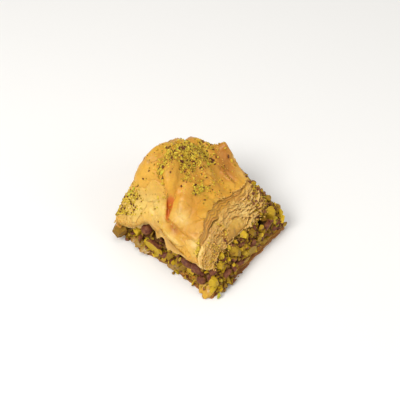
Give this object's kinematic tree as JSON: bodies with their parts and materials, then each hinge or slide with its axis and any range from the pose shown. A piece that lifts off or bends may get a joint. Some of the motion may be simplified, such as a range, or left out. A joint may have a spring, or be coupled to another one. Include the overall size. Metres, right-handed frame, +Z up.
{
  "type": "baklava piece",
  "caption": "Square cut piece of pistachio baklava: puffed flaky pastry sheets over a band of chopped nuts on a thin syrup-soaked base, dusted with ground nuts.",
  "frame": {"origin": "on the resting plane, under the middle of the piece's box", "axes": "+Z up; the cut face that shows the sheets faces -Y, and the left, skirted face faces -X"},
  "size_m": [0.0518, 0.0534, 0.0396],
  "materials": {
    "soaked_pastry": "thin pastry sheets soaked in syrup, orange-brown and slightly glossy",
    "chopped_nuts": "chopped pistachios, yellow-green inside with purple-brown skins, matt with a little syrup",
    "crisp_pastry": "baked buttered pastry sheets, golden with browned and pale places, satin"
  },
  "bodies": {
    "root": {"base_sheets": "soaked_pastry", "nut_filling": "chopped_nuts", "puffed_crust": "crisp_pastry"}
  },
  "joints": []
}
